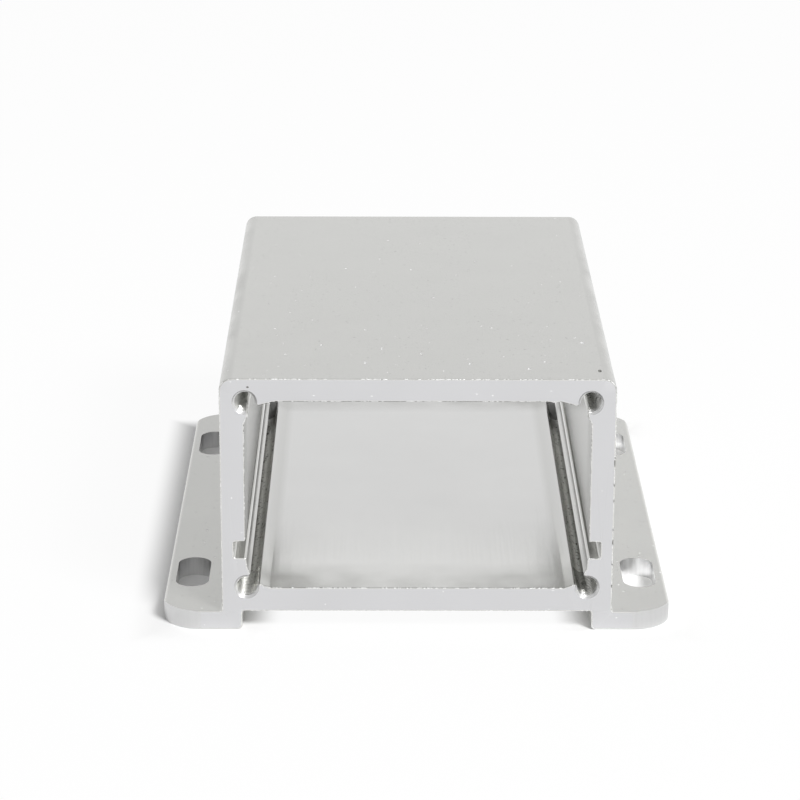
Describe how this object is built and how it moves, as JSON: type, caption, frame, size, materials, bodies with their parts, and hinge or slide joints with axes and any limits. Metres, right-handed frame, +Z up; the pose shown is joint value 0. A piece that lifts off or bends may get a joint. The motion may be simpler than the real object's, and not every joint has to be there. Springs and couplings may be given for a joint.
{
  "type": "extruded aluminium enclosure",
  "caption": "Extruded aluminium enclosure body, a rectangular tube open at both ends, with screw ports in its inner corners, board grooves in its side walls and slotted mounting flanges.",
  "frame": {"origin": "middle of the underside of the feet", "axes": "+X along the extrusion, out of the end seen in the picture; +Y across it, to the right in the picture; +Z up, from the feet to the top"},
  "size_m": [0.08, 0.065, 0.0335],
  "materials": {
    "extruded_aluminium": "plain extruded aluminium, matt, with sawn ends"
  },
  "bodies": {
    "root": {"enclosure_body": "extruded_aluminium"}
  },
  "joints": []
}
